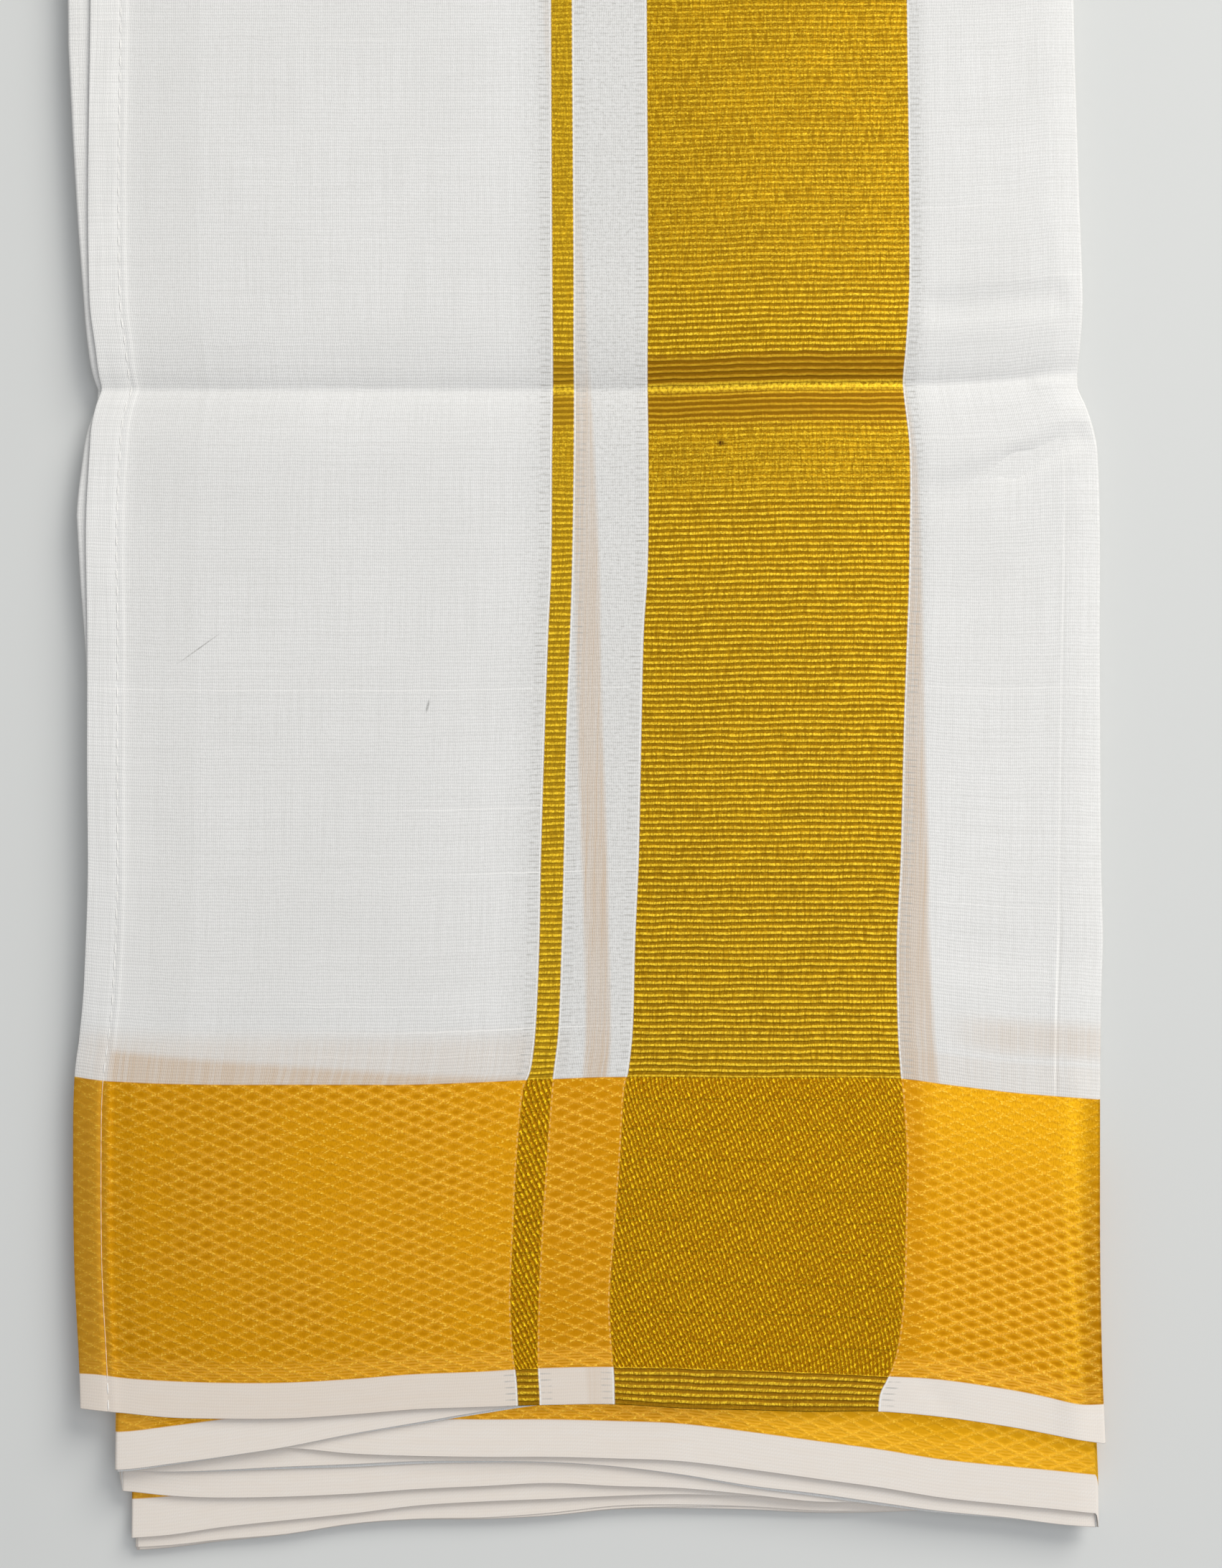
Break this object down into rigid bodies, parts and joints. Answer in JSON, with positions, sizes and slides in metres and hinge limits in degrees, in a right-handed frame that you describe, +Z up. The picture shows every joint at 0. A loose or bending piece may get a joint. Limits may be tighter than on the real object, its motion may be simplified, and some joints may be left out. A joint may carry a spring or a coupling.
{
  "type": "folded dhoti cloth",
  "caption": "Flat folded white cotton dhoti cloth with a turned hem, a right-hand fold, woven gold stripe, band and border, and layers fanned at the front.",
  "frame": {"origin": "bottom centre of the folded cloth's bounding box, on the surface that it lies on", "axes": "+Z up through the layers, +Y from the fanned selvedges to the fold at the back, +X from the hemmed end to the front panel's right fold"},
  "size_m": [0.3272, 0.6802, 0.0115],
  "materials": {
    "front_panel_cotton": "plain woven bleached cotton with a gold zari stripe, band and border",
    "end_hem_cotton": "turned and stitched bleached cotton",
    "ply_2_cotton": "plain woven bleached cotton with a gold zari border",
    "ply_3_cotton": "plain woven bleached cotton with a gold zari border",
    "ply_4_cotton": "plain woven bleached cotton with a gold zari border",
    "ply_5_cotton": "plain woven bleached cotton with a gold zari border",
    "ply_6_cotton": "plain woven bleached cotton with a gold zari border",
    "folded_core_cotton": "layers of bleached cotton"
  },
  "bodies": {
    "root": {"front_panel": "front_panel_cotton", "end_hem": "end_hem_cotton", "ply_2": "ply_2_cotton", "ply_3": "ply_3_cotton", "ply_4": "ply_4_cotton", "ply_5": "ply_5_cotton", "ply_6": "ply_6_cotton", "folded_core": "folded_core_cotton"}
  },
  "joints": []
}
